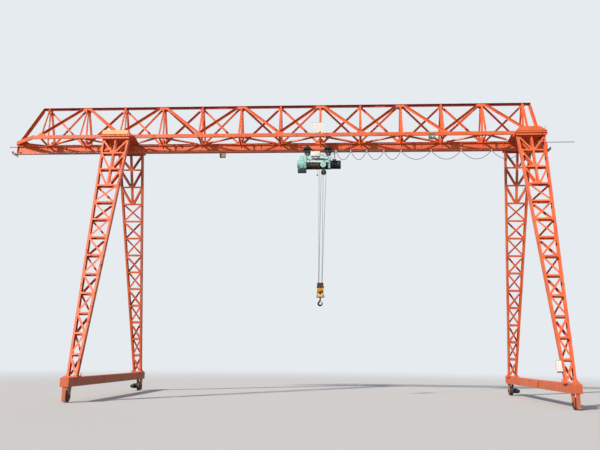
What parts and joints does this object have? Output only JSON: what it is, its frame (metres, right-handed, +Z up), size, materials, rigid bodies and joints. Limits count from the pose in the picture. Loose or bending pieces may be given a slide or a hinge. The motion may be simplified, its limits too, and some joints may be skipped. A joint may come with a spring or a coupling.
{
  "type": "gantry crane",
  "caption": "Truss gantry crane on laced legs, with a wire rope hoist that runs under its beam and a swivelling hook block on ropes.",
  "frame": {"origin": "bottom centre of the crane's bounding box, at the lowest points of the rail wheels", "axes": "+X along the girder towards the longer end rod, +Y from the near legs to the far legs, +Z up"},
  "size_m": [25.6, 9.4846, 12.93],
  "materials": {
    "orange_paint": "satin",
    "pale_green_paint": "satin",
    "dark_blue_paint": "satin",
    "white_paint": "satin",
    "yellow_paint": "satin",
    "dark_steel": "matte",
    "wheel_steel": "matte",
    "galvanised_steel": "satin",
    "rope_steel": "matte",
    "cable_rubber": "matte",
    "carrier_plastic": "matte"
  },
  "bodies": {
    "gantry": {"main_beam": "orange_paint", "beam_end_stops": "orange_paint", "top_chord": "orange_paint", "near_side_chord": "orange_paint", "far_side_chord": "orange_paint", "left_end_chords": "orange_paint", "right_end_raker": "orange_paint", "near_face_bracing": "orange_paint", "far_face_bracing": "orange_paint", "centre_bracing": "orange_paint", "level_bracing": "orange_paint", "left_saddle_beam": "orange_paint", "right_saddle_beam": "orange_paint", "near_left_leg": "orange_paint", "near_left_lacing": "orange_paint", "far_left_leg": "orange_paint", "far_left_lacing": "orange_paint", "near_right_leg": "orange_paint", "near_right_lacing": "orange_paint", "far_right_leg": "orange_paint", "far_right_lacing": "orange_paint", "left_ground_beam": "orange_paint", "right_ground_beam": "orange_paint", "left_rail_wheels": "wheel_steel", "right_rail_wheels": "wheel_steel", "travel_drives": "dark_blue_paint", "sign_plate": "white_paint", "floodlights": "dark_steel", "end_rods": "galvanised_steel", "festoon_wire": "galvanised_steel", "switch_boxes": "dark_steel", "festoon_cable": "cable_rubber"},
    "hoist": {"trolley_frames": "dark_blue_paint", "trolley_wheels": "dark_steel", "trolley_motors": "dark_blue_paint", "hoist_beam": "pale_green_paint", "rope_drum": "dark_steel", "hoist_gearbox": "pale_green_paint", "hoist_motor": "dark_blue_paint", "relay_box": "white_paint", "control_box": "dark_blue_paint", "sheave_hanger": "pale_green_paint", "upper_sheave": "dark_steel", "limit_weight": "dark_steel", "tow_arm": "galvanised_steel", "hoist_cable": "cable_rubber", "hoist_ropes": "rope_steel"},
    "hook_block": {"block_frame": "yellow_paint", "block_sheaves": "dark_steel", "hook_crosshead": "yellow_paint"},
    "hook": {"lifting_hook": "dark_steel"},
    "lead_carrier": {"lead_carrier": "carrier_plastic"},
    "carrier_1": {"carrier_1": "carrier_plastic"},
    "carrier_2": {"carrier_2": "carrier_plastic"},
    "carrier_3": {"carrier_3": "carrier_plastic"},
    "carrier_4": {"carrier_4": "carrier_plastic"},
    "carrier_5": {"carrier_5": "carrier_plastic"},
    "carrier_6": {"carrier_6": "carrier_plastic"},
    "carrier_7": {"carrier_7": "carrier_plastic"}
  },
  "joints": [
    {"name": "hoist_travel", "type": "slide", "parent": "gantry", "child": "hoist", "axis": [1, 0, 0], "range_m": [-12.7, 7.2]},
    {"name": "hook_lift", "type": "slide", "parent": "hoist", "child": "hook_block", "axis": [0, 0, 1], "range_m": [-3.5, 4.2], "deforming": ["hoist_ropes"]},
    {"name": "hook_swivel", "type": "hinge", "parent": "hook_block", "child": "hook", "pos_m": [1.625, 0, 4], "axis": [0, 0, 1], "continuous": true},
    {"name": "carrier_7_slide", "type": "slide", "parent": "gantry", "child": "carrier_7", "axis": [1, 0, 0], "range_m": [-2.0547, 1.1692], "deforming": ["festoon_cable"]},
    {"name": "carrier_6_slide", "type": "slide", "parent": "carrier_7", "child": "carrier_6", "axis": [1, 0, 0], "range_m": [-2.0674, 1.1764]},
    {"name": "carrier_5_slide", "type": "slide", "parent": "carrier_6", "child": "carrier_5", "axis": [1, 0, 0], "range_m": [-2.0547, 1.1692]},
    {"name": "carrier_4_slide", "type": "slide", "parent": "carrier_5", "child": "carrier_4", "axis": [1, 0, 0], "range_m": [-2.0674, 1.1764]},
    {"name": "carrier_3_slide", "type": "slide", "parent": "carrier_4", "child": "carrier_3", "axis": [1, 0, 0], "range_m": [-1.1911, 0.6796]},
    {"name": "carrier_2_slide", "type": "slide", "parent": "carrier_3", "child": "carrier_2", "axis": [1, 0, 0], "range_m": [-1.1911, 0.6796]},
    {"name": "carrier_1_slide", "type": "slide", "parent": "carrier_2", "child": "carrier_1", "axis": [1, 0, 0], "range_m": [-1.1149, 0.6364]},
    {"name": "lead_carrier_slide", "type": "slide", "parent": "carrier_1", "child": "lead_carrier", "axis": [1, 0, 0], "range_m": [-1.0387, 0.5932]}
  ],
  "couplings": [
    {"joint": "carrier_7_slide", "follows": "hoist_travel", "ratio": 0.161},
    {"joint": "carrier_6_slide", "follows": "hoist_travel", "ratio": 0.162},
    {"joint": "carrier_5_slide", "follows": "hoist_travel", "ratio": 0.161},
    {"joint": "carrier_4_slide", "follows": "hoist_travel", "ratio": 0.162},
    {"joint": "carrier_3_slide", "follows": "hoist_travel", "ratio": 0.093},
    {"joint": "carrier_2_slide", "follows": "hoist_travel", "ratio": 0.093},
    {"joint": "carrier_1_slide", "follows": "hoist_travel", "ratio": 0.087},
    {"joint": "lead_carrier_slide", "follows": "hoist_travel", "ratio": 0.081}
  ]
}
